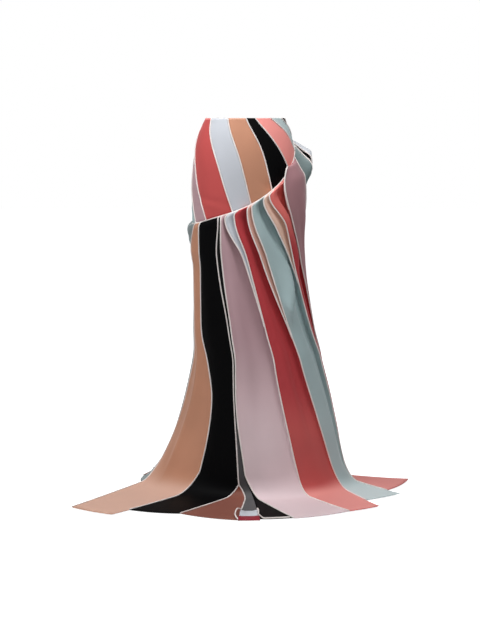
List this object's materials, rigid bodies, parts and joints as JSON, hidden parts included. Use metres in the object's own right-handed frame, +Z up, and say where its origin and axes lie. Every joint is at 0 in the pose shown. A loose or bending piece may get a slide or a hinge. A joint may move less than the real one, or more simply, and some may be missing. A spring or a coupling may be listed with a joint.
{
  "type": "pleated maxi skirt",
  "caption": "Floor-length pleated skirt of piped colour-blocked gores under a slanting hip seam, held hollow as worn.",
  "frame": {"origin": "middle of the waist edge, where the wearer's waist holds the skirt", "axes": "+Z up, -Y the front, +X the wearer's left hip, where the hip seam is highest; the floor is at z = -1.175 m"},
  "size_m": [1.0622, 0.9424, 1.175],
  "materials": {
    "coral": "matte bonded crepe, coral",
    "rose": "matte bonded crepe, blush",
    "ice": "matte bonded crepe, ice grey",
    "tan": "matte bonded crepe, tan",
    "black": "matte bonded crepe, black",
    "sage": "matte bonded crepe, sage",
    "mauve": "matte bonded crepe, dusty mauve",
    "slate": "matte bonded crepe, slate",
    "rust": "matte bonded crepe, rust",
    "piping": "satin piping"
  },
  "bodies": {
    "root": {"yoke_01_mauve": "mauve", "yoke_02_coral": "coral", "yoke_03_ice": "ice", "yoke_04_tan": "tan", "yoke_05_black": "black", "yoke_06_coral": "coral", "yoke_07_sage": "sage", "yoke_08_black": "black", "yoke_09_tan": "tan", "yoke_10_mauve": "mauve", "yoke_11_ice": "ice", "yoke_12_coral": "coral", "yoke_13_black": "black", "yoke_14_sage": "sage", "hip_piping": "piping", "front_tan": "tan", "front_black": "black", "pleat_rust": "rust", "pleat_slate": "slate", "pleat_black": "black", "front_mauve": "mauve", "insert_ice": "ice", "front_coral": "coral", "insert_rose": "rose", "front_sage": "sage", "insert_tan": "tan", "side_coral": "coral", "insert_black": "black", "side_mauve": "mauve", "side_sage": "sage", "back_black": "black", "back_ice": "ice", "back_coral": "coral", "back_tan": "tan", "back_mauve": "mauve", "back_rust": "rust", "back_slate": "slate", "hem_turn_ice": "ice", "hem_turn_coral": "coral"}
  },
  "joints": []
}
